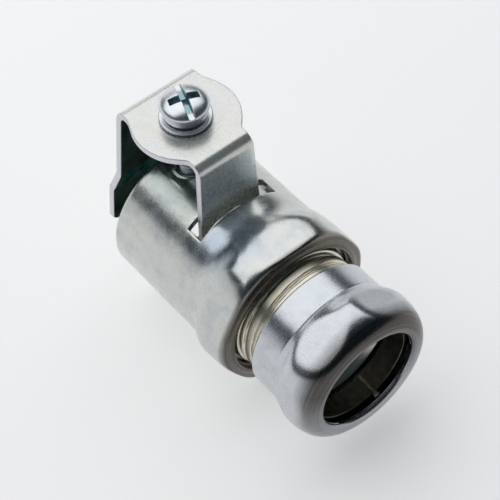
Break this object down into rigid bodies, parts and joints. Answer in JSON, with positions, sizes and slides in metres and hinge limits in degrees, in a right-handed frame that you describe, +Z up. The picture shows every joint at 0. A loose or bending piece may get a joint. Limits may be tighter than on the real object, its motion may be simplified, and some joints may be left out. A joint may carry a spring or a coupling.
{
  "type": "conduit compression fitting",
  "caption": "Steel conduit combination coupling: a hex compression nut on a threaded nipple at one end and a screw-down saddle clamp over a cable sleeve at the other.",
  "frame": {"origin": "under the middle of the fitting's bounding box, on the surface that the hex collar's lower flat rests on", "axes": "+X along the conduit's axis out of the compression nut, +Z up along the clamp screw, +Y to the left when looking along +X"},
  "size_m": [0.0542, 0.0308, 0.0437],
  "materials": {
    "zinc_plate": "bright zinc plate over drawn steel",
    "warm_zinc_plate": "pale yellow zinc plate",
    "ring_steel": "dull spring steel",
    "screw_zinc": "bright clear zinc plate"
  },
  "bodies": {
    "sleeve": {"flex_sleeve": "zinc_plate", "threaded_nipple": "warm_zinc_plate"},
    "ring": {"compression_ring": "ring_steel"},
    "nut": {"compression_nut": "zinc_plate"},
    "saddle": {"saddle_clamp": "zinc_plate", "screw_washer": "screw_zinc"},
    "screw": {"clamp_screw": "screw_zinc"}
  },
  "joints": [
    {"name": "ring_travel", "type": "slide", "parent": "sleeve", "child": "ring", "axis": [1, 0, 0], "range_m": [-0.00172, 0.00636]},
    {"name": "nut_turn", "type": "hinge", "parent": "ring", "child": "nut", "pos_m": [0.0217, 0, 0.0143], "axis": [1, 0, 0], "range_deg": [-288, 1080]},
    {"name": "saddle_travel", "type": "slide", "parent": "sleeve", "child": "saddle", "axis": [0, 0, 1], "range_m": [-0.0097, 0.0016]},
    {"name": "screw_turn", "type": "hinge", "parent": "saddle", "child": "screw", "pos_m": [-0.01655, 0, 0.0393], "axis": [0, 0, 1], "range_deg": [-4400, 726]}
  ],
  "couplings": [
    {"joint": "ring_travel", "follows": "nut_turn", "m_per_rad": 0.00033693},
    {"joint": "screw_turn", "follows": "saddle_travel", "rad_per_m": 7915.8}
  ]
}
